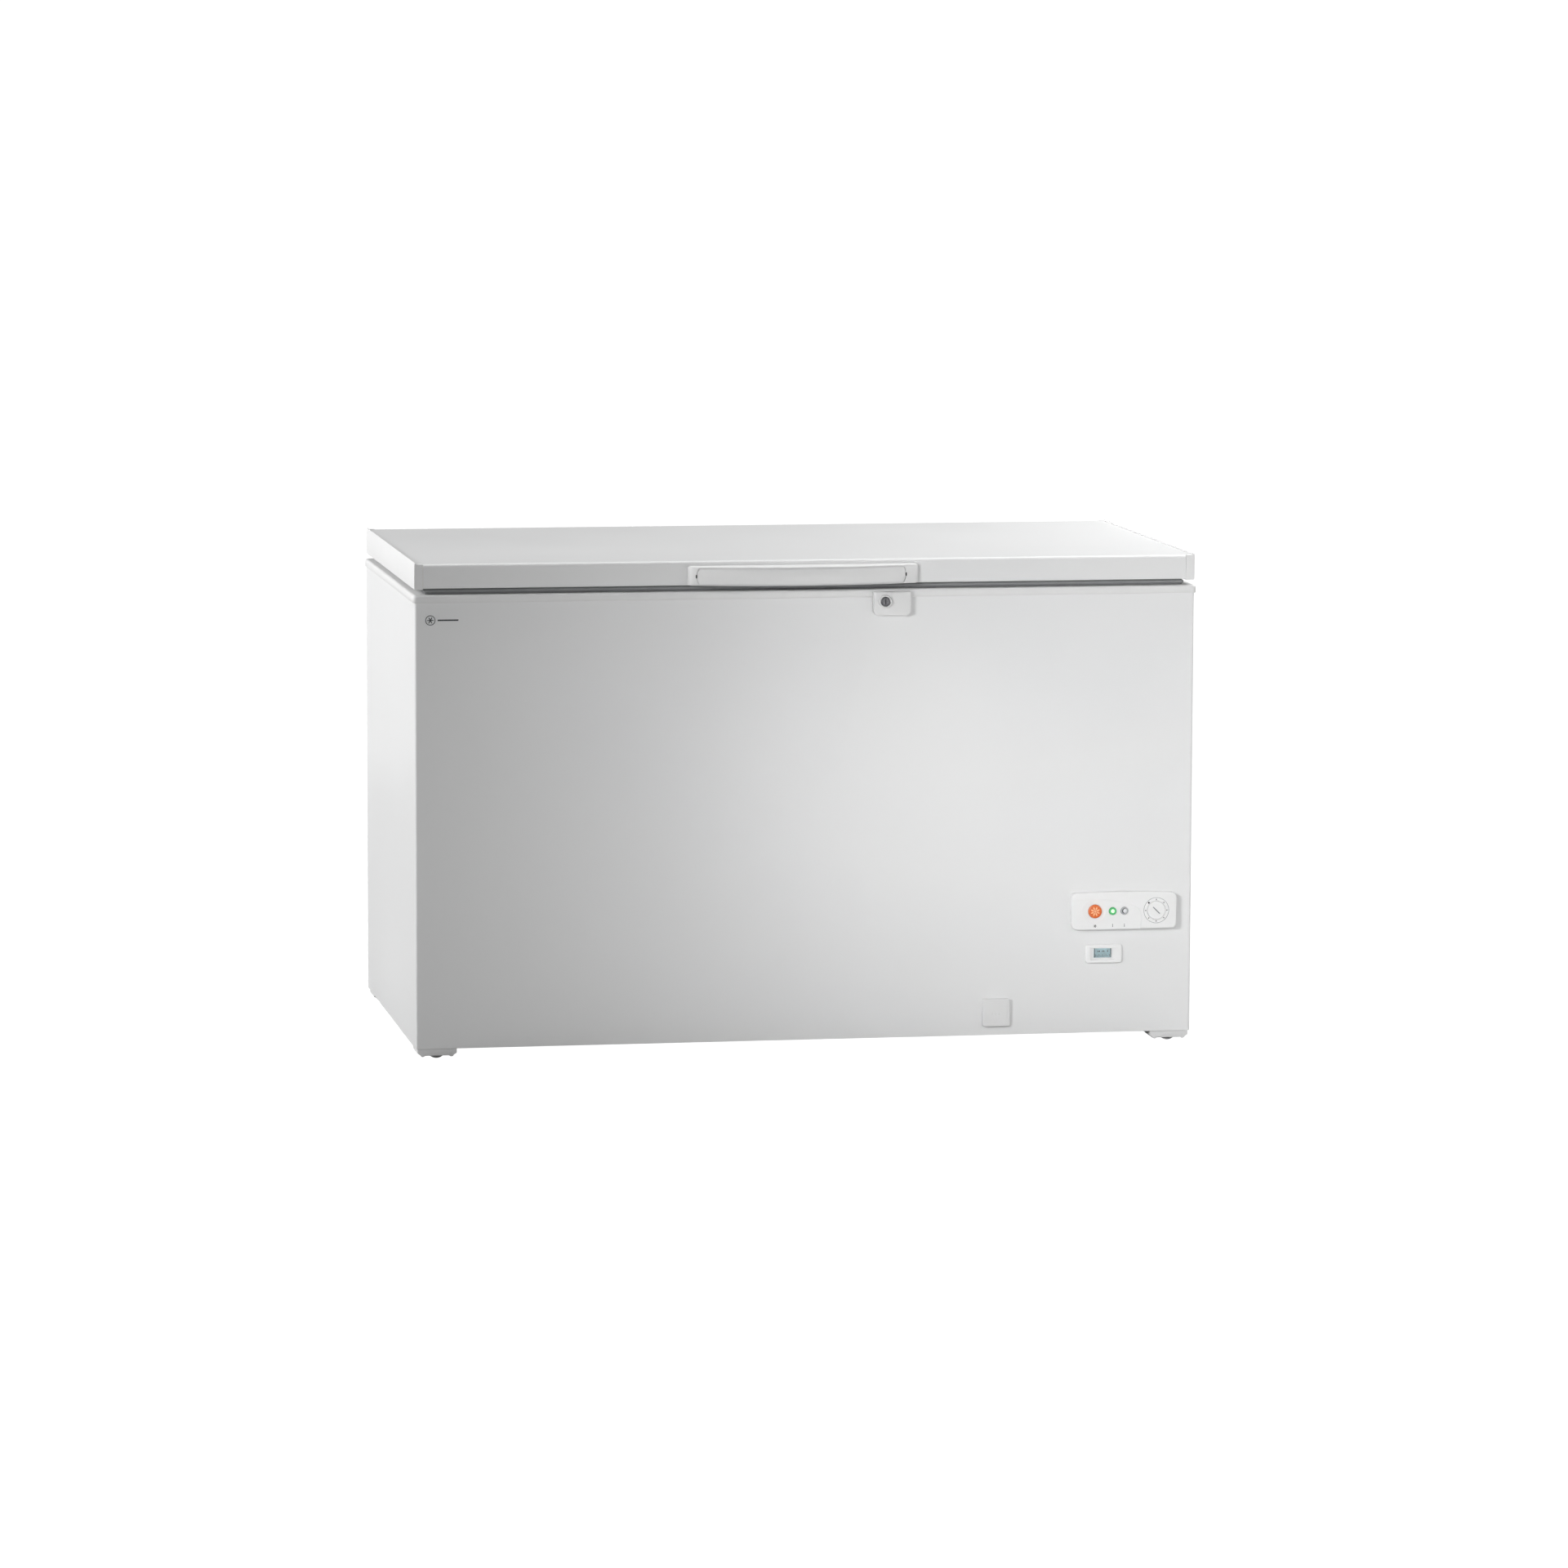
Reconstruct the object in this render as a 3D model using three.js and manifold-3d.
// A chest freezer: insulated cabinet, hinged lid with a bow handle, machine compartment at the right.
// Millimetres, +Z up, front towards -Y, +X to the right seen from the front, origin on the floor
// under the middle of the whole object.
import * as THREE from "three";
import { mergeVertices } from "three/addons/utils/BufferGeometryUtils.js";
import Module from "manifold-3d";

const wasm = await Module();
wasm.setup();

// ---- Driving dimensions ----

const WIDTH = 1300; // outer shell, side to side
const DEPTH = 676; // outer shell, front to back
const FOOT = 17; // floor to the shell's lower edge
const FRAME_LOW = 750.5; // top frame's lower edge
const FRAME_TOP = 763.5;
const FRAME_PROUD = 3; // how far the top frame stands out at the front and sides
const LID_LOW = 773.5; // lower edge of the lid's skin
const LID_TOP = 813.5;
const RIM_TOP = 816; // the lid ends' thin rims
const HANDLE_REACH = 38; // in front of the lid
const HINGE_REACH = 20; // behind the cabinet
const SHEET = 0.8; // steel sheet
const GAP = 0.3; // between touching pieces
const WALL = 62; // insulated wall, skin to skin

const TUB_FLOOR = 84; // underside of the liner's floor
const STEP_X = 370; // the liner steps up over the machine compartment from here
const STEP_TOP = 340; // underside of the liner on the step
const LINER = 1;
const TUB_RADIUS = 40;
const DECK = 36.5; // underside of the base panel and the machine tray

const MACHINE_X = 419; // bulkhead between the foam and the machine compartment
const MACHINE_TOP = 289;

const SIDE = WIDTH / 2;
const FRONT = HANDLE_REACH - (DEPTH + HANDLE_REACH + HINGE_REACH) / 2;
const BACK = FRONT + DEPTH;
const TUB_X = SIDE - WALL;
const TUB_FRONT = FRONT + WALL;
const TUB_BACK = BACK - WALL;

// ---- Finishes ----

const finish = (color, roughness, metalness = 0) => ({ color, roughness, metalness });
const WHITE_PAINT = finish(0xf2f3f3, 0.35);
const WHITE_PLASTIC = finish(0xf5f5f3, 0.45);
const LINER_SHEET = finish(0xe8eaeb, 0.4, 0.2);
const FOAM = finish(0xe9d9a2, 0.9);
const COPPER = finish(0xb87345, 0.3, 1);
const STEEL = finish(0xb9bcc0, 0.35, 1);
const ZINC = finish(0x9fa3a6, 0.45, 1);
const BLACK_PAINT = finish(0x151515, 0.45);
const BLACK_PLASTIC = finish(0x222222, 0.6);
const GREY_RUBBER = finish(0x8d9092, 0.8);
const ORANGE = finish(0xe27f44, 0.3);
const GREEN = finish(0x62c07a, 0.2);
const LAMP_GREY = finish(0xd8d8d6, 0.2);
const DISPLAY = finish(0xb4cbd1, 0.3);
const WINDOW = finish(0xeef4f6, 0.05);

// ---- Solids ----

/** A closed three.js geometry as a solid. */
function solid(geometry) {
  geometry.deleteAttribute("normal");
  geometry.deleteAttribute("uv");
  const merged = mergeVertices(geometry, 1e-4);
  return new wasm.Manifold(
    new wasm.Mesh({
      numProp: 3,
      vertProperties: merged.attributes.position.array,
      triVerts: new Uint32Array(merged.index.array),
    }),
  );
}

/** A solid as a named mesh. */
function part(name, shape, look) {
  const { vertProperties, triVerts } = shape.getMesh();
  const geometry = new THREE.BufferGeometry();
  geometry.setAttribute("position", new THREE.BufferAttribute(vertProperties, 3));
  geometry.setIndex(new THREE.BufferAttribute(triVerts, 1));
  const mesh = new THREE.Mesh(geometry, new THREE.MeshStandardMaterial(look));
  mesh.name = name;
  return mesh;
}

/** A group of meshes. */
function group(...meshes) {
  const holder = new THREE.Group();
  holder.add(...meshes);
  return holder;
}

function join(first, ...rest) {
  return rest.reduce((sum, piece) => sum.add(piece), first);
}

function cut(first, ...rest) {
  return rest.reduce((left, piece) => left.subtract(piece), first);
}

function block(x0, x1, y0, y1, z0, z1) {
  const box = new THREE.BoxGeometry(x1 - x0, y1 - y0, z1 - z0);
  return solid(box.translate((x0 + x1) / 2, (y0 + y1) / 2, (z0 + z1) / 2));
}

/** A flat outline drawn in (y, z), (x, z) or (x, y) and pulled along x, y or z. */
function extruded(outline, axis, low, high, curveSegments = 4) {
  const geometry = new THREE.ExtrudeGeometry(outline, {
    depth: high - low,
    bevelEnabled: false,
    curveSegments,
  });
  const x = new THREE.Vector3(1, 0, 0);
  const y = new THREE.Vector3(0, 1, 0);
  const z = new THREE.Vector3(0, 0, 1);
  const place = new THREE.Matrix4();
  if (axis === "x") place.makeBasis(y, z, x).setPosition(low, 0, 0);
  if (axis === "y") place.makeBasis(x, z, y.negate()).setPosition(0, high, 0);
  if (axis === "z") place.setPosition(0, 0, low);
  return solid(geometry.applyMatrix4(place));
}

function roundedRectangle(u0, u1, v0, v1, radius) {
  const outline = new THREE.Shape();
  outline.absarc(u1 - radius, v0 + radius, radius, -Math.PI / 2, 0);
  outline.absarc(u1 - radius, v1 - radius, radius, 0, Math.PI / 2);
  outline.absarc(u0 + radius, v1 - radius, radius, Math.PI / 2, Math.PI);
  outline.absarc(u0 + radius, v0 + radius, radius, Math.PI, 1.5 * Math.PI);
  outline.closePath();
  return outline;
}

function polygon(points) {
  return new THREE.Shape(points.map(([u, v]) => new THREE.Vector2(u, v)));
}

/** A round bar along x, y or z; (u, v) is its centre in the other two axes, in x, y, z order. */
function rod(axis, u, v, radius, low, high, sides = 16) {
  const bar = new THREE.CylinderGeometry(radius, radius, high - low, sides);
  const middle = (low + high) / 2;
  if (axis === "x") bar.rotateZ(Math.PI / 2).translate(middle, u, v);
  if (axis === "y") bar.translate(u, middle, v);
  if (axis === "z") bar.rotateX(Math.PI / 2).translate(u, v, middle);
  return solid(bar);
}

/** A turned solid about a vertical axis; the profile is [radius, height] from bottom to top. */
function turned(profile, sides = 20) {
  const points = profile.map(([radius, height]) => new THREE.Vector2(radius, height));
  return solid(new THREE.LatheGeometry(points, sides).rotateX(Math.PI / 2));
}

/** A pipe's route: straight runs joined by bends, with points only where it turns. */
class PipeRoute extends THREE.Curve {
  constructor(corners, bend, stepsPerBend = 2) {
    super();
    const at = corners.map((corner) => new THREE.Vector3(...corner));
    this.points = [at[0]];
    for (let i = 1; i < at.length - 1; i++) {
      const back = at[i - 1].clone().sub(at[i]);
      const on = at[i + 1].clone().sub(at[i]);
      const size = Math.min(bend, 0.45 * back.length(), 0.45 * on.length());
      const start = at[i].clone().add(back.setLength(size));
      const end = at[i].clone().add(on.setLength(size));
      const arc = new THREE.QuadraticBezierCurve3(start, at[i], end);
      this.points.push(...arc.getPoints(stepsPerBend));
    }
    this.points.push(at.at(-1));
  }
  index(u) {
    return Math.round(u * (this.points.length - 1));
  }
  getPointAt(u, target = new THREE.Vector3()) {
    return target.copy(this.points[this.index(u)]);
  }
  getTangentAt(u, target = new THREE.Vector3()) {
    const i = this.index(u);
    const before = this.points[Math.max(i - 1, 0)];
    const after = this.points[Math.min(i + 1, this.points.length - 1)];
    return target.subVectors(after, before).normalize();
  }
}

/** A bar or, with a bore, a pipe along a route. */
function pipe(route, radius, sides = 6, bore = 0) {
  const ring = (r) => {
    const corners = [];
    for (let i = 0; i < sides; i++) {
      const angle = (2 * Math.PI * i) / sides;
      corners.push([r * Math.cos(angle), r * Math.sin(angle)]);
    }
    return polygon(corners);
  };
  const section = ring(radius);
  if (bore) section.holes.push(ring(bore));
  const steps = route.points.length - 1;
  return solid(new THREE.ExtrudeGeometry(section, { steps, extrudePath: route }));
}

// ---- Routes in the foam ----

const TUBE = 4; // radius of the coils' tube
const GROOVE = 4.8; // radius of the room that the foam leaves for it
const TUBE_END = 262; // the coils end here, inside the machine compartment
const COIL_Y = TUB_BACK + TUBE + 0.5; // evaporator's run behind the liner
const EVAPORATOR_IN = [540, COIL_Y];
const EVAPORATOR_OUT = [570, COIL_Y + 14];
const CONDENSER_Y = BACK - 6;
const CONDENSER_IN = [600, CONDENSER_Y];
const CONDENSER_OUT = [625, CONDENSER_Y];

function evaporatorRoute() {
  const first = 380;
  const pitch = 77;
  const turns = 4;
  const x = TUB_X + TUBE + 0.5;
  const front = TUB_FRONT - TUBE - 0.5;
  const corners = [[...EVAPORATOR_IN, TUBE_END], [...EVAPORATOR_IN, first]];
  for (let turn = 0; turn < turns; turn++) {
    const z = first + turn * pitch;
    corners.push([-x, COIL_Y, z], [-x, front, z], [x, front, z]);
    if (turn < turns - 1) corners.push([x, COIL_Y, z + pitch]);
  }
  const last = first + turns * pitch;
  const [outX, outY] = EVAPORATOR_OUT;
  corners.push([x, outY, last], [outX, outY, last], [outX, outY, TUBE_END]);
  return new PipeRoute(corners, TUB_RADIUS, 3);
}

function condenserRoute() {
  const first = 340;
  const pitch = 110;
  const reach = 570;
  const runs = 4;
  const corners = [[...CONDENSER_IN, TUBE_END], [...CONDENSER_IN, first]];
  for (let run = 0; run < runs - 1; run++) {
    const x = run % 2 ? reach : -reach;
    const z = first + run * pitch;
    corners.push([x, CONDENSER_Y, z], [x, CONDENSER_Y, z + pitch]);
  }
  const last = first + (runs - 1) * pitch;
  corners.push([...CONDENSER_OUT, last], [...CONDENSER_OUT, TUBE_END]);
  return new PipeRoute(corners, 30);
}

// ---- Drain ----

const DRAIN_X = 318.5;
const DRAIN_Y = -215;
const DRAIN_Z = 55.25;
const DRAIN_PIPE = 10;
const DRAIN_BORE = 7;

function drainRoute(top, front) {
  const corners = [
    [DRAIN_X, DRAIN_Y, top],
    [DRAIN_X, DRAIN_Y, DRAIN_Z],
    [DRAIN_X, front, DRAIN_Z],
  ];
  return new PipeRoute(corners, 14, 3);
}

function drain() {
  const pipeShape = pipe(drainRoute(TUB_FLOOR - GAP, FRONT - 3), DRAIN_PIPE, 12, DRAIN_BORE);
  const plug = join(
    rod("z", DRAIN_X, DRAIN_Y, DRAIN_BORE - 0.6, 70, 86),
    rod("z", DRAIN_X, DRAIN_Y, 12, TUB_FLOOR + LINER + GAP, TUB_FLOOR + LINER + 4.5),
  );
  const half = 23.4;
  const outer = roundedRectangle(-half, half, -half, half, 4);
  const inner = roundedRectangle(-half + 2, half - 2, -half + 2, half - 2, 2.5);
  const cap = cut(
    extruded(outer, "y", FRONT - 7, FRONT - GAP, 3),
    extruded(inner, "y", FRONT - 5, FRONT, 3),
  );
  const spigot = rod("y", 0, 0, DRAIN_BORE - 0.6, FRONT - 6, FRONT + 6);
  const cover = join(cap, spigot).translate([DRAIN_X, 0, DRAIN_Z]);
  return group(
    part("drain_pipe", pipeShape, WHITE_PLASTIC),
    part("drain_plug", plug, WHITE_PLASTIC),
    part("drain_cover", cover, WHITE_PLASTIC),
  );
}

// ---- Cabinet ----

/** The tub's space, grown outwards by a margin. */
function tubSpace(margin, top) {
  const plan = roundedRectangle(
    -TUB_X - margin,
    TUB_X + margin,
    TUB_FRONT - margin,
    TUB_BACK + margin,
    TUB_RADIUS + margin,
  );
  const well = extruded(plan, "z", TUB_FLOOR - margin, top);
  const far = SIDE + 50;
  const step = block(STEP_X + margin, far, -far, far, 0, STEP_TOP - margin);
  return cut(well, step);
}

const PANEL = { x0: 444, x1: 624, z0: 191, z1: 254 }; // control panel's outline
const THERMOMETER = { x0: 470, x1: 532, z0: 134, z1: 165 };
const SIDE_GRILLE = { u0: -110, u1: 130, v0: 70, v1: 250 }; // u along y, v along z
const REAR_GRILLE = { u0: 432, u1: 640, v0: 50, v1: 280 }; // u along x, v along z
const GRILLE_LIP = 8; // how far a grille laps over the sheet round its opening
const GLAND = { x: 610, z: 68 };

function cabinetSkins() {
  const inFront = [FRONT - 5, FRONT + 5];
  const side = SIDE_GRILLE;
  const rear = REAR_GRILLE;
  const wrap = cut(
    extruded(roundedRectangle(-SIDE, SIDE, FRONT, BACK + 20, 4), "z", FOOT, FRAME_LOW - GAP),
    extruded(
      roundedRectangle(-SIDE + SHEET, SIDE - SHEET, FRONT + SHEET, BACK + 30, 4 - SHEET),
      "z",
      0,
      FRAME_TOP,
    ),
    block(-SIDE - 5, SIDE + 5, BACK, BACK + 40, 0, FRAME_TOP),
    block(PANEL.x0 + 8, PANEL.x1 - 8, ...inFront, PANEL.z0 + 7, PANEL.z1 - 7),
    block(
      THERMOMETER.x0 + 10,
      THERMOMETER.x1 - 10,
      ...inFront,
      THERMOMETER.z0 + 7,
      THERMOMETER.z1 - 7,
    ),
    rod("y", DRAIN_X, DRAIN_Z, DRAIN_PIPE + 0.8, ...inFront),
    block(SIDE - 5, SIDE + 5, side.u0, side.u1, side.v0, side.v1),
  );
  const inset = SIDE - SHEET - GAP;
  const back = cut(
    block(-inset, inset, BACK - SHEET, BACK, FOOT, FRAME_LOW - GAP),
    block(rear.u0, rear.u1, BACK - 5, BACK + 5, rear.v0, rear.v1),
  );
  const front = FRONT + SHEET + GAP;
  const end = BACK - SHEET - GAP;
  const floorPlan = roundedRectangle(-inset, inset, front, end, 4);
  const left = block(-SIDE, MACHINE_X - GAP, -SIDE, SIDE, 0, LID_TOP);
  const right = block(MACHINE_X + LINER + GAP, SIDE, -SIDE, SIDE, 0, LID_TOP);
  const base = extruded(floorPlan, "z", DECK, DECK + 1, 3).intersect(left);
  let tray = extruded(floorPlan, "z", DECK, DECK + 2, 3).intersect(right);
  const slots = { count: 6, x0: 460, x1: 570, y: -250, pitch: 34, width: 12 };
  for (let slot = 0; slot < slots.count; slot++) {
    const y = slots.y + slot * slots.pitch;
    tray = cut(tray, block(slots.x0, slots.x1, y, y + slots.width, DECK - 5, DECK + 5));
  }
  const upright = block(MACHINE_X, MACHINE_X + LINER, front, end, DECK, MACHINE_TOP);
  const shelf = block(MACHINE_X, inset, front + 4, end, MACHINE_TOP - LINER, MACHINE_TOP);
  const tubeHoles = [EVAPORATOR_IN, EVAPORATOR_OUT, CONDENSER_IN, CONDENSER_OUT].map(
    ([x, y]) => rod("z", x, y, TUBE + 1.2, MACHINE_TOP - 10, MACHINE_TOP + 10, 12),
  );
  const bulkhead = cut(join(upright, shelf), ...tubeHoles);
  return group(
    part("outer_shell", wrap, WHITE_PAINT),
    part("back_panel", back, WHITE_PAINT),
    part("base_panel", base, ZINC),
    part("machine_tray", tray, ZINC),
    part("machine_bulkhead", bulkhead, ZINC),
  );
}

function insulation() {
  const inset = SIDE - SHEET - GAP;
  const front = FRONT + SHEET + GAP;
  const rear = BACK - SHEET - GAP;
  const plan = roundedRectangle(-inset, inset, front, rear, 4);
  const foam = cut(
    extruded(plan, "z", DECK + 1 + GAP, FRAME_LOW - GAP, 3),
    tubSpace(GAP, FRAME_TOP),
    block(MACHINE_X - GAP, SIDE, -SIDE, SIDE, 0, MACHINE_TOP + GAP),
    pipe(evaporatorRoute(), GROOVE),
    pipe(condenserRoute(), GROOVE),
    pipe(drainRoute(TUB_FLOOR + 1, FRONT - 5), DRAIN_PIPE + 0.8, 12),
  );
  const liner = cut(
    tubSpace(0, FRAME_LOW - GAP),
    tubSpace(-LINER, FRAME_TOP),
    rod("z", DRAIN_X, DRAIN_Y, DRAIN_BORE + 0.3, TUB_FLOOR - 5, TUB_FLOOR + 5),
  );
  return group(
    part("wall_foam", foam, FOAM),
    part("inner_liner", liner, LINER_SHEET),
    part("evaporator_coil", pipe(evaporatorRoute(), TUBE), COPPER),
    part("condenser_coil", pipe(condenserRoute(), TUBE), COPPER),
  );
}

const LEDGE_WIDTH = 9; // step in the top frame that carries the basket's hooks
const LEDGE_TOP = 758;

function topFrame() {
  const edge = LINER;
  const opening = (grow, radius) =>
    roundedRectangle(
      -TUB_X + edge - grow,
      TUB_X - edge + grow,
      TUB_FRONT + edge - grow,
      TUB_BACK - edge + grow,
      radius,
    );
  const outer = roundedRectangle(
    -SIDE - FRAME_PROUD,
    SIDE + FRAME_PROUD,
    FRONT - FRAME_PROUD,
    BACK,
    7,
  );
  const inner = TUB_RADIUS - edge;
  const ring = cut(
    extruded(outer, "z", FRAME_LOW, FRAME_TOP),
    extruded(opening(0, inner), "z", FRAME_LOW - 5, FRAME_TOP + 5),
    extruded(opening(LEDGE_WIDTH, inner + LEDGE_WIDTH), "z", LEDGE_TOP, FRAME_TOP + 5),
  );
  return part("top_frame", ring, WHITE_PLASTIC);
}

/** A flat vent grille with rows of slots, laid across x or y over an opening in the sheet. */
function grille(axis, { u0, u1, v0, v1 }, low, rows, columns) {
  const lip = GRILLE_LIP;
  const high = low + 1.5;
  const outline = roundedRectangle(u0 - lip, u1 + lip, v0 - lip, v1 + lip, 6);
  let plate = extruded(outline, axis, low, high, 3);
  const border = 6;
  const bar = 10;
  const slotHeight = 9;
  const slotWidth = (u1 - u0 - 2 * border - (columns - 1) * bar) / columns;
  const pitch = (v1 - v0 - 2 * border - slotHeight) / (rows - 1);
  for (let row = 0; row < rows; row++) {
    for (let column = 0; column < columns; column++) {
      const u = u0 + border + column * (slotWidth + bar);
      const v = v0 + border + row * pitch;
      const across = [u, u + slotWidth];
      const through = [low - 1, high + 1];
      const slot = axis === "x" ? [...through, ...across] : [...across, ...through];
      plate = cut(plate, block(...slot, v, v + slotHeight));
    }
  }
  return plate;
}

function grilles() {
  const flange = rod("y", GLAND.x, GLAND.z, 12, BACK + 1.8 + GAP, BACK + 5);
  const nut = rod("y", GLAND.x, GLAND.z, 10, BACK + 4, BACK + 15, 6);
  const thread = rod("y", GLAND.x, GLAND.z, 4.2, BACK - 6, BACK + 8);
  const bore = rod("y", GLAND.x, GLAND.z, 3, BACK - 20, BACK + 30, 12);
  const rearShape = grille("y", REAR_GRILLE, BACK + GAP, 8, 2);
  const landing = rod("y", GLAND.x, GLAND.z, 14, BACK + GAP, BACK + GAP + 1.5);
  const passage = rod("y", GLAND.x, GLAND.z, 4.5, BACK - 20, BACK + 30);
  return group(
    part("rear_grille", cut(join(rearShape, landing), passage), ZINC),
    part("side_grille", grille("x", SIDE_GRILLE, SIDE + GAP, 6, 2), WHITE_PLASTIC),
    part("cable_gland", cut(join(flange, nut, thread), bore), BLACK_PLASTIC),
  );
}

// ---- Machine compartment ----

const COMPRESSOR = { x: 530, y: 190, squeeze: 0.82, halfBase: 66, halfLength: 92 };
const CAN_PROFILE = [
  [0, 62],
  [60, 62],
  [84, 76],
  [90, 96],
  [90, 128],
  [95, 130],
  [95, 136],
  [90, 138],
  [88, 176],
  [74, 208],
  [46, 226],
  [0, 232],
];
const CAN_RADIUS = 90; // at the tubes' height
const DRIER_PROFILE = [
  [0, 170],
  [3, 170],
  [4, 176],
  [10, 184],
  [10, 224],
  [4, 232],
  [0, 232],
];
const DRIER_TOP = 232;
const SUCTION = { x: 632, high: 240, port: 118, radius: 4.5 };
const DISCHARGE = { x: 436, high: 246, port: 110, radius: 3 };

function machine() {
  const { x, y, squeeze, halfBase, halfLength } = COMPRESSOR;
  const foot = DECK + 2 + GAP;
  const can = turned(CAN_PROFILE).scale([squeeze, 1, 1]);
  let compressor = join(can, block(-halfBase, halfBase, -halfLength, halfLength, 58, 66));
  for (const [footX, footY] of [
    [-56, -80],
    [56, -80],
    [-56, 80],
    [56, 80],
  ]) {
    compressor = join(compressor, rod("z", footX, footY, 10, foot, 60, 10));
  }
  compressor = compressor.translate([x, y, 0]);
  const relay = block(x - 26, x + 26, y - 124, y - 95 - GAP, 108, 172);
  const [outX, outY] = EVAPORATOR_OUT;
  const reachX = squeeze * CAN_RADIUS + 0.5;
  const suction = new PipeRoute(
    [
      [outX, outY, TUBE_END - GAP],
      [outX, outY, SUCTION.high],
      [SUCTION.x, outY, SUCTION.high],
      [SUCTION.x, y, SUCTION.high],
      [SUCTION.x, y, SUCTION.port],
      [x + reachX, y, SUCTION.port],
    ],
    14,
  );
  const discharge = new PipeRoute(
    [
      [x - reachX, y, DISCHARGE.port],
      [DISCHARGE.x, y, DISCHARGE.port],
      [DISCHARGE.x, y, DISCHARGE.high],
      [DISCHARGE.x, CONDENSER_Y, DISCHARGE.high],
      [CONDENSER_IN[0], CONDENSER_Y, DISCHARGE.high],
      [...CONDENSER_IN, TUBE_END - GAP],
    ],
    14,
  );
  const [drierX, drierTop] = CONDENSER_OUT;
  const drierY = drierTop - 10;
  const drierBody = turned(DRIER_PROFILE, 12).translate([drierX, drierY, 0]);
  const drierNeck = new PipeRoute(
    [
      [drierX, drierY, DRIER_TOP - 2],
      [drierX, drierY, DRIER_TOP + 10],
      [drierX, drierTop, DRIER_TOP + 20],
      [drierX, drierTop, TUBE_END - GAP],
    ],
    5,
  );
  const drier = join(drierBody, pipe(drierNeck, 3, 8));
  return group(
    part("compressor", compressor, BLACK_PAINT),
    part("start_relay", relay, BLACK_PLASTIC),
    part("suction_tube", pipe(suction, SUCTION.radius, 8), COPPER),
    part("discharge_tube", pipe(discharge, DISCHARGE.radius, 8), COPPER),
    part("filter_drier", drier, COPPER),
  );
}

// ---- Controls ----

const CONTROL_Z = 222; // button, lamps and dial share one line
const BUTTON = { x: 484, radius: 11.2 };
const LAMPS = { green_lamp: 514, alarm_lamp: 534 };
const LAMP_RADIUS = 6.4;
const DIAL = { x: 588, radius: 15.4 };
const PANEL_PROUD = 12;
const BUTTON_TRAVEL = 3;

function controls() {
  const face = FRONT - PANEL_PROUD;
  const outline = roundedRectangle(PANEL.x0, PANEL.x1, PANEL.z0, PANEL.z1, 9);
  const through = [face - 5, FRONT + 5];
  const lampHoles = Object.values(LAMPS).map((x) =>
    rod("y", x, CONTROL_Z, LAMP_RADIUS + 0.4, ...through),
  );
  const bezel = cut(
    extruded(outline, "y", face, FRONT - GAP),
    rod("y", BUTTON.x, CONTROL_Z, BUTTON.radius + 0.4, ...through),
    ...lampHoles,
    rod("y", DIAL.x, CONTROL_Z, DIAL.radius + 0.6, face - 5, face + 8),
    rod("y", DIAL.x, CONTROL_Z, 4.2, ...through),
  );
  const button = rod("y", BUTTON.x, CONTROL_Z, BUTTON.radius, face - 1.5, FRONT + 6);
  const dial = join(
    rod("y", DIAL.x, CONTROL_Z, DIAL.radius, face - 2, face + 7),
    rod("y", DIAL.x, CONTROL_Z, 3.7, face + 5, FRONT + 8),
  );
  const switchFront = FRONT + 6 + BUTTON_TRAVEL + 2 * GAP;
  const behind = (x, half, front, length) =>
    block(x - half, x + half, front, front + length, CONTROL_Z - half, CONTROL_Z + half);
  const switchBody = behind(BUTTON.x, 14, switchFront, 24);
  const thermostat = behind(DIAL.x, 20, FRONT + 9, 31);
  const lamps = Object.entries(LAMPS).map(([name, x]) =>
    part(
      name,
      rod("y", x, CONTROL_Z, LAMP_RADIUS, face - 1, FRONT + 4),
      name === "green_lamp" ? GREEN : LAMP_GREY,
    ),
  );
  return group(
    part("control_bezel", bezel, WHITE_PLASTIC),
    part("fast_freeze_button", button, ORANGE),
    part("thermostat_dial", dial, WHITE_PLASTIC),
    part("switch_body", switchBody, BLACK_PLASTIC),
    part("thermostat_body", thermostat, STEEL),
    ...lamps,
  );
}

function thermometer() {
  const { x0, x1, z0, z1 } = THERMOMETER;
  const outline = roundedRectangle(x0, x1, z0, z1, 4);
  const bezel = cut(
    join(
      extruded(outline, "y", FRONT - 5, FRONT - GAP, 3),
      block(x0 + 12, x1 - 12, FRONT - 2, FRONT + 8, z0 + 9, z1 - 9),
    ),
    block(x0 + 8, x1 - 6, FRONT - 10, FRONT - 2, z0 + 8, z1 - 4),
  );
  const pane = (inset, front, behind) =>
    block(x0 + 14 + inset, x1 - 18 - inset, front, behind, z0 + 9 + inset, z1 - 5 - inset);
  const display = pane(0.5, FRONT - 3.4, FRONT - 2 - GAP);
  const cover = pane(0, FRONT - 4.7, FRONT - 3.7);
  return group(
    part("thermometer_bezel", bezel, WHITE_PLASTIC),
    part("thermometer_display", display, DISPLAY),
    part("thermometer_window", cover, WINDOW),
  );
}

// ---- Lock ----

const KEY = { x: 126, z: 744 };
const LOCK_COVER = { x0: 107, x1: 170, z0: 720, z1: 760, corner: 10 };
const BOLT = { x0: 143.5, x1: 156.5, low: 727.5, high: 758.5 };
const BOLT_LAYER = [FRONT - 7.2, FRONT - 3.9];
const CAM_LENGTH = 15;

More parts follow.
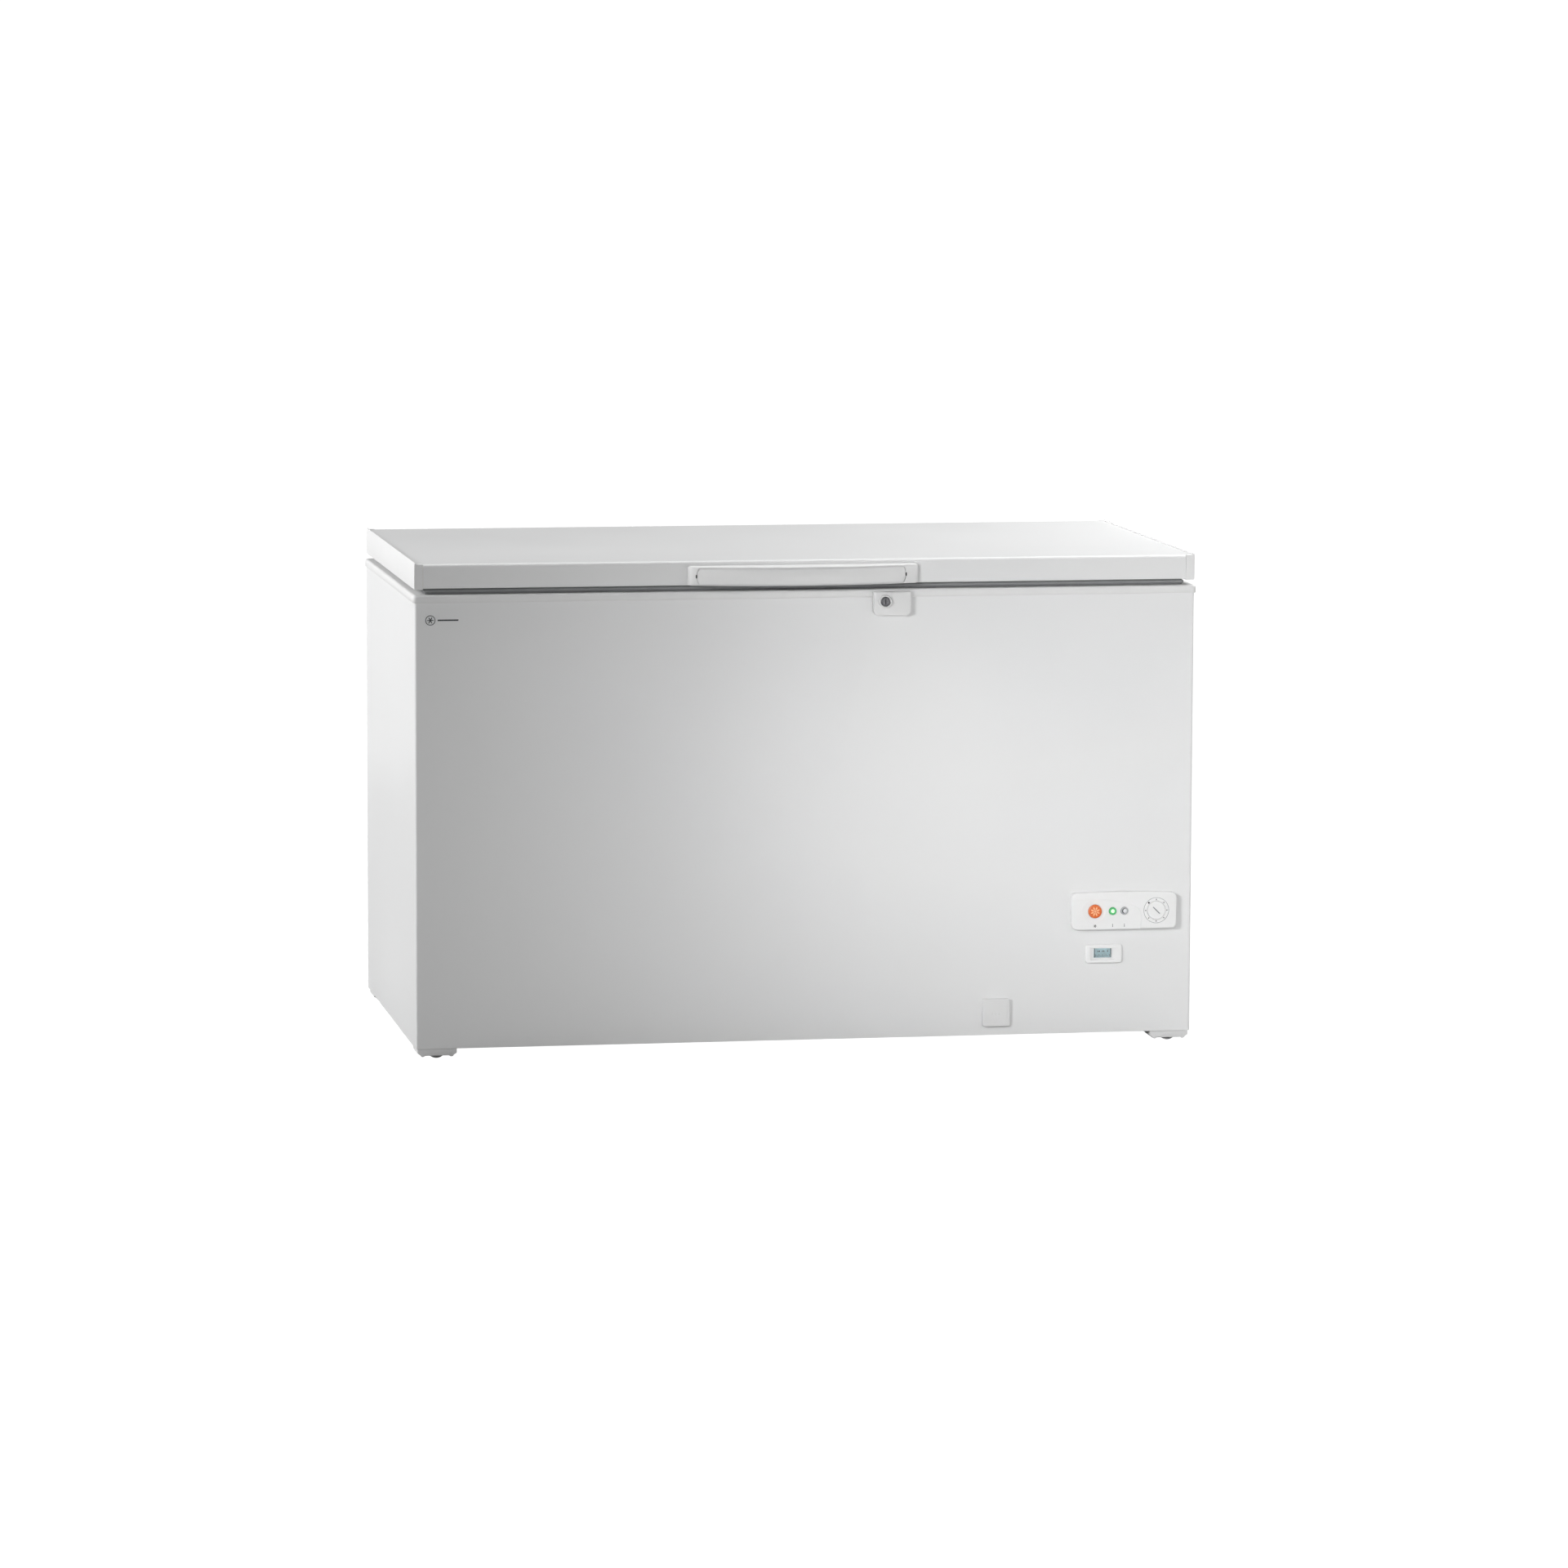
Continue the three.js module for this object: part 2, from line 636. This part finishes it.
function lock() {
  const { x, z } = KEY;
  const { x0, x1, z0, z1, corner } = LOCK_COVER;
  const face = FRONT - 12;
  const coverOutline = (inset) =>
    polygon([
      [x0 + inset, z1 - inset],
      [x0 + inset, z0 + corner + inset / 2],
      [x0 + corner + inset / 2, z0 + inset],
      [x1 - corner - inset / 2, z0 + inset],
      [x1 - inset, z0 + corner + inset / 2],
      [x1 - inset, z1 - inset],
    ]);
  const housing = cut(
    join(
      extruded(coverOutline(0), "y", face, FRONT - GAP),
      rod("y", x, z, 10.5, face - 6, face + 1),
    ),
    extruded(coverOutline(2), "y", face + 2, FRONT + 5),
    block(x0 - 5, x1 + 5, FRONT - FRAME_PROUD - GAP, FRONT + 5, FRAME_LOW - GAP, z1 + 5),
    block(BOLT.x0 - 0.7, BOLT.x1 + 0.7, FRONT - 7.9, FRONT - 3, z1 - 10, z1 + 5),
    rod("y", x, z, 8.1, face - 10, face + 5),
  );
  const cylinder = cut(
    rod("y", x, z, 7.6, face - 5.5, face + 2),
    block(x - 4.5, x + 4.5, face - 10, face - 2, z - 0.8, z + 0.8),
  );
  const arm = block(0, CAM_LENGTH + 2, face + 2 + GAP, face + 4.4, -2.5, 2.5);
  const pin = rod("y", CAM_LENGTH, 0, 1.7, face + 4, FRONT - 4.2, 12);
  const cam = join(arm, pin, rod("y", 0, 0, 6, face + 2 + GAP, face + 4.4))
    .rotate([0, 45, 0])
    .translate([x, 0, z]);
  const pinZ = z - CAM_LENGTH * Math.SQRT1_2;
  const bolt = cut(
    join(
      block(BOLT.x0, BOLT.x1, ...BOLT_LAYER, BOLT.low, BOLT.high),
      block(x + 5, BOLT.x0 + 1, ...BOLT_LAYER, BOLT.low, BOLT.low + 9.5),
    ),
    block(x + 8, BOLT.x0, FRONT - 10, FRONT, pinZ - 2.6, pinZ + 2.6),
  );
  return group(
    part("lock_housing", housing, WHITE_PLASTIC),
    part("key_cylinder", cylinder, ZINC),
    part("lock_cam", cam, STEEL),
    part("lock_bolt", bolt, STEEL),
  );
}

// ---- Castors ----

const ROLLER = 16; // radius
const ROLLER_ROOM = { x: 17.5, y: 22, top: 34.5 }; // half sizes and height of the fork's hollow

function castor(name, x, y) {
  const length = 60;
  const top = DECK - GAP;
  const low = 3.5;
  const half = 32.5;
  const outline = polygon([
    [-half, top],
    [-half, low + 3],
    [-half + 3, low],
    [half - 3, low],
    [half, low + 3],
    [half, top],
  ]);
  const housing = cut(
    extruded(outline, "y", -length / 2, length / 2),
    block(-ROLLER_ROOM.x, ROLLER_ROOM.x, -ROLLER_ROOM.y, ROLLER_ROOM.y, -5, ROLLER_ROOM.top),
    rod("y", 0, ROLLER, 3.5, -length, length, 8),
  );
  const roller = join(
    rod("y", 0, ROLLER, ROLLER, -20, 20, 24),
    rod("y", 0, ROLLER, 3, -27, 27, 8),
  );
  return group(
    part(`castor_housing_${name}`, housing.translate([x, y, 0]), WHITE_PLASTIC),
    part(`castor_roller_${name}`, roller.translate([x, y, 0]), BLACK_PLASTIC),
  );
}

function castors() {
  const x = SIDE - 35.5;
  const front = FRONT + 32;
  const rear = BACK - 32;
  return group(
    castor("front_left", -x, front),
    castor("front_right", x, front),
    castor("rear_left", -x, rear),
    castor("rear_right", x, rear),
  );
}

// ---- Lid ----

const END_WIDTH = 14.2; // lid end's corner cap, seen from the front
const END_CAP = 5; // how far a corner cap reaches back
const RIM_THICK = 3;
const END_LOW = 771.8;
const HEM = 8; // sheet folded in under the lid

function lidSkin() {
  const radius = 6;
  const section = new THREE.Shape();
  section.moveTo(BACK - HEM, LID_LOW);
  section.lineTo(BACK, LID_LOW);
  section.absarc(BACK - radius, LID_TOP - radius, radius, 0, Math.PI / 2);
  section.absarc(FRONT + radius, LID_TOP - radius, radius, Math.PI / 2, Math.PI);
  section.lineTo(FRONT, LID_LOW);
  section.lineTo(FRONT + HEM, LID_LOW);
  section.lineTo(FRONT + HEM, LID_LOW + SHEET);
  section.lineTo(FRONT + SHEET, LID_LOW + SHEET);
  const inner = radius - SHEET;
  section.absarc(FRONT + radius, LID_TOP - radius, inner, Math.PI, Math.PI / 2, true);
  section.absarc(BACK - radius, LID_TOP - radius, inner, Math.PI / 2, 0, true);
  section.lineTo(BACK - SHEET, LID_LOW + SHEET);
  section.lineTo(BACK - HEM, LID_LOW + SHEET);
  const reach = SIDE - RIM_THICK - GAP;
  const corner = SIDE - END_WIDTH - GAP;
  const notches = [];
  for (const side of [-1, 1]) {
    const x0 = side < 0 ? -SIDE : corner;
    const x1 = side < 0 ? -corner : SIDE;
    notches.push(block(x0, x1, FRONT - 5, FRONT + END_CAP + GAP, FRAME_LOW, RIM_TOP));
    notches.push(block(x0, x1, BACK - END_CAP - GAP, BACK + 5, FRAME_LOW, RIM_TOP));
    notches.push(block(x0, x1, FRONT, BACK, FRAME_LOW, LID_TOP - SHEET - 0.1));
  }
  return cut(extruded(section, "x", -reach, reach), ...notches);
}

function lidEnd(side) {
  const inner = SIDE - END_WIDTH;
  const rim = block(SIDE - RIM_THICK, SIDE, FRONT, BACK, END_LOW, RIM_TOP);
  const web = block(inner, SIDE, FRONT, BACK, END_LOW, LID_TOP - SHEET - 2 * GAP);
  const frontCap = block(inner, SIDE, FRONT, FRONT + END_CAP, END_LOW, LID_TOP + 0.5);
  const rearCap = block(inner, SIDE, BACK - END_CAP, BACK, END_LOW, LID_TOP + 0.5);
  const softened = roundedRectangle(FRONT, BACK, END_LOW, RIM_TOP, 3);
  const body = join(rim, web, frontCap, rearCap);
  const shape = body.intersect(extruded(softened, "x", 0, SIDE + 5, 3));
  return side < 0 ? shape.mirror([1, 0, 0]) : shape;
}

function lidCore() {
  const half = SIDE - END_WIDTH - 2 * GAP;
  const flangeLow = LID_LOW + 0.1;
  const flangeTop = flangeLow + 1.5;
  const plugLow = FRAME_LOW - 0.5;
  const margin = 16;
  const plug = (inset) =>
    roundedRectangle(
      -TUB_X + margin + inset,
      TUB_X - margin - inset,
      TUB_FRONT + margin + inset,
      TUB_BACK - margin - inset,
      30 - inset,
    );
  const wall = 1.5;
  const panel = cut(
    join(
      block(-half, half, FRONT + HEM + GAP, BACK - HEM - GAP, flangeLow, flangeTop),
      extruded(plug(0), "z", plugLow, flangeTop),
    ),
    extruded(plug(wall), "z", plugLow + wall, LID_TOP),
  );
  const foamLow = flangeTop + GAP;
  const foamTop = LID_TOP - SHEET - GAP;
  const foam = join(
    block(-half, half, FRONT + HEM, BACK - HEM, foamLow, foamTop),
    extruded(plug(wall + GAP), "z", plugLow + wall + GAP, foamLow + 1),
  );
  return group(part("lid_inner_panel", panel, WHITE_PLASTIC), part("lid_foam", foam, FOAM));
}

function lidGasket() {
  const outerX = SIDE - 15.5;
  const fullWidth = 16;
  const ring = (inset, low, high) => {
    const halfOuter = outerX - inset;
    const halfInner = outerX - fullWidth + inset;
    const front = FRONT + HEM + inset;
    const back = BACK - HEM - inset;
    const width = fullWidth - 2 * inset;
    return cut(
      extruded(roundedRectangle(-halfOuter, halfOuter, front, back, 6), "z", low, high, 3),
      block(-halfInner, halfInner, front + width, back - width, low - 1, high + 1),
    );
  };
  const low = FRAME_TOP + GAP;
  const high = LID_LOW - GAP;
  const shape = join(
    ring(3, low, low + 2.6),
    ring(0, low + 2.2, high - 2),
    ring(3, high - 2.4, high),
  );
  return part("lid_gasket", shape, GREY_RUBBER);
}

const HANDLE = { x0: -201, x1: 182, z0: 774, z1: 805.5, end: 10 };
const INSERT = { x0: -187, x1: 159, z0: 776, z1: 802 };
const GRASP = { x0: -160, x1: 108 }; // finger hollow behind the handle
const HANDLE_STEPS = 16;

/** How far the handle's front stands out from the lid at x. */
function handleReach(x) {
  const middle = (HANDLE.x0 + HANDLE.x1) / 2;
  const t = (x - middle) / ((HANDLE.x1 - HANDLE.x0) / 2);
  return HANDLE.end + (HANDLE_REACH - HANDLE.end) * (1 - t * t);
}

/** A slab in plan between two depths behind the handle's front, from x0 to x1. */
function bowed(x0, x1, outerInset, innerY, z0, z1) {
  const points = [];
  for (let i = 0; i <= HANDLE_STEPS; i++) {
    const x = x0 + ((x1 - x0) * i) / HANDLE_STEPS;
    points.push([x, FRONT - handleReach(x) + outerInset]);
  }
  for (let i = HANDLE_STEPS; i >= 0; i--) {
    const x = x0 + ((x1 - x0) * i) / HANDLE_STEPS;
    points.push([x, innerY(x)]);
  }
  return extruded(polygon(points), "z", z0, z1);
}

function handle() {
  const { x0, x1, z0, z1 } = HANDLE;
  const seat = () => FRONT - GAP;
  const skin = 1;
  const behindInsert = (depth) => (x) => FRONT - handleReach(x) + depth;
  const body = cut(
    bowed(x0, x1, 0, seat, z0, z1),
    bowed(GRASP.x0, GRASP.x1, 6, () => FRONT + 5, z0 - 5, z1 - 5.5),
    bowed(
      INSERT.x0 - GAP,
      INSERT.x1 + GAP,
      -5,
      behindInsert(skin + GAP),
      INSERT.z0 - GAP,
      INSERT.z1 + GAP,
    ),
    block(BOLT.x0 - 0.7, BOLT.x1 + 0.7, FRONT - 8, FRONT + 5, z0 - 5, z0 + 10),
  );
  const insert = bowed(INSERT.x0, INSERT.x1, 0, behindInsert(skin), INSERT.z0, INSERT.z1);
  return group(
    part("handle_body", body, WHITE_PLASTIC),
    part("handle_insert", insert, WHITE_PLASTIC),
  );
}

function lid() {
  return group(
    part("lid_skin", lidSkin(), WHITE_PAINT),
    part("lid_end_left", lidEnd(-1), WHITE_PLASTIC),
    part("lid_end_right", lidEnd(1), WHITE_PLASTIC),
    lidCore(),
    lidGasket(),
    handle(),
  );
}

// ---- Hinges ----

const HINGE_X = 430;
const HINGE = { y: BACK + 12, z: 768.5 }; // the lid's axis
const PIN = 4; // radius
const BRACKET = { half: 28, low: 640, top: 760, cheek: 2, plate: 2 };
const LEAF = { half: 24, low: 779, top: 809, plate: 2 };
const LEVER_HALF = 14;

/** A close-wound torsion spring round the hinge pin. */
class SpringRoute extends THREE.Curve {
  getPoint(t, target = new THREE.Vector3()) {
    const turns = 3.5;
    const radius = 6.6;
    const angle = 2 * Math.PI * turns * t;
    return target.set(16.5 + 8 * t, radius * Math.cos(angle), radius * Math.sin(angle));
  }
}

function hinge(name, x) {
  const { y, z } = HINGE;
  const cheek = new THREE.Shape();
  const seat = BACK + GAP;
  cheek.moveTo(seat, BRACKET.low);
  cheek.lineTo(BACK + 10, BRACKET.low);
  cheek.absarc(y, z, 8, 0, Math.PI);
  cheek.lineTo(seat, BRACKET.top);
  const { half, low, top } = BRACKET;
  const pinHalf = half + 2;
  const bore = rod("x", y, z, PIN + GAP, -pinHalf, pinHalf);
  const bracket = cut(
    join(
      extruded(cheek, "x", -half, -half + BRACKET.cheek),
      extruded(cheek, "x", half - BRACKET.cheek, half),
      block(-half, half, seat, seat + BRACKET.plate, low, top),
    ),
    bore,
  );
  const leverOutline = polygon([
    [seat, LEAF.low - 1],
    [y - 5.5, z + 1],
    [y + 5, z + 2],
    [seat + LEAF.plate, LEAF.low + 5],
    [seat, LEAF.low + 5],
  ]);
  const leaf = cut(
    join(
      block(-LEAF.half, LEAF.half, seat, seat + LEAF.plate, LEAF.low, LEAF.top),
      extruded(leverOutline, "x", -LEVER_HALF, LEVER_HALF),
      rod("x", y, z, 6.5, -LEVER_HALF, LEVER_HALF),
    ),
    bore,
  );
  const pin = rod("x", y, z, PIN, -pinHalf, pinHalf);
  const round = new THREE.Shape().absarc(0, 0, 1, 0, 2 * Math.PI);
  const coil = new THREE.ExtrudeGeometry(round, {
    steps: 28,
    curveSegments: 2,
    extrudePath: new SpringRoute(),
  });
  const spring = solid(coil).translate([0, y, z]);
  return group(
    part(`hinge_bracket_${name}`, bracket.translate([x, 0, 0]), WHITE_PAINT),
    part(`hinge_leaf_${name}`, leaf.translate([x, 0, 0]), WHITE_PAINT),
    part(`hinge_pin_${name}`, pin.translate([x, 0, 0]), STEEL),
    part(`hinge_spring_${name}`, spring.translate([x, 0, 0]), STEEL),
  );
}

// ---- Basket ----

const BASKET = { x0: 300, x1: 550, z0: 545, z1: 745 };

/** The hanging basket: a thin open box with a hooked strip at its front and back. */
function basket() {
  const { x0, x1, z0, z1 } = BASKET;
  const front = TUB_FRONT + 8;
  const back = TUB_BACK - 8;
  const wall = 3;
  const outer = roundedRectangle(x0, x1, front, back, 20);
  const inner = roundedRectangle(x0 + wall, x1 - wall, front + wall, back - wall, 20 - wall);
  const hookLow = LEDGE_TOP + 0.4;
  const hookTop = hookLow + 3;
  const hookX = [x0 + 25, x1 - 25];
  const shape = join(
    cut(extruded(outer, "z", z0, z1, 4), extruded(inner, "z", z0 + wall, z1 + 5, 4)),
    block(...hookX, front, front + wall, z1 - 10, hookTop),
    block(...hookX, front - 14, front + wall, hookLow, hookTop),
    block(...hookX, back - wall, back, z1 - 10, hookTop),
    block(...hookX, back - wall, back + 14, hookLow, hookTop),
  );
  return part("basket", shape, STEEL);
}

// ---- Whole freezer ----

const freezer = group(
  cabinetSkins(),
  insulation(),
  topFrame(),
  grilles(),
  machine(),
  controls(),
  thermometer(),
  lock(),
  drain(),
  castors(),
  lid(),
  hinge("left", -HINGE_X),
  hinge("right", HINGE_X),
  basket(),
);
freezer.name = "chest_freezer";

export default freezer;
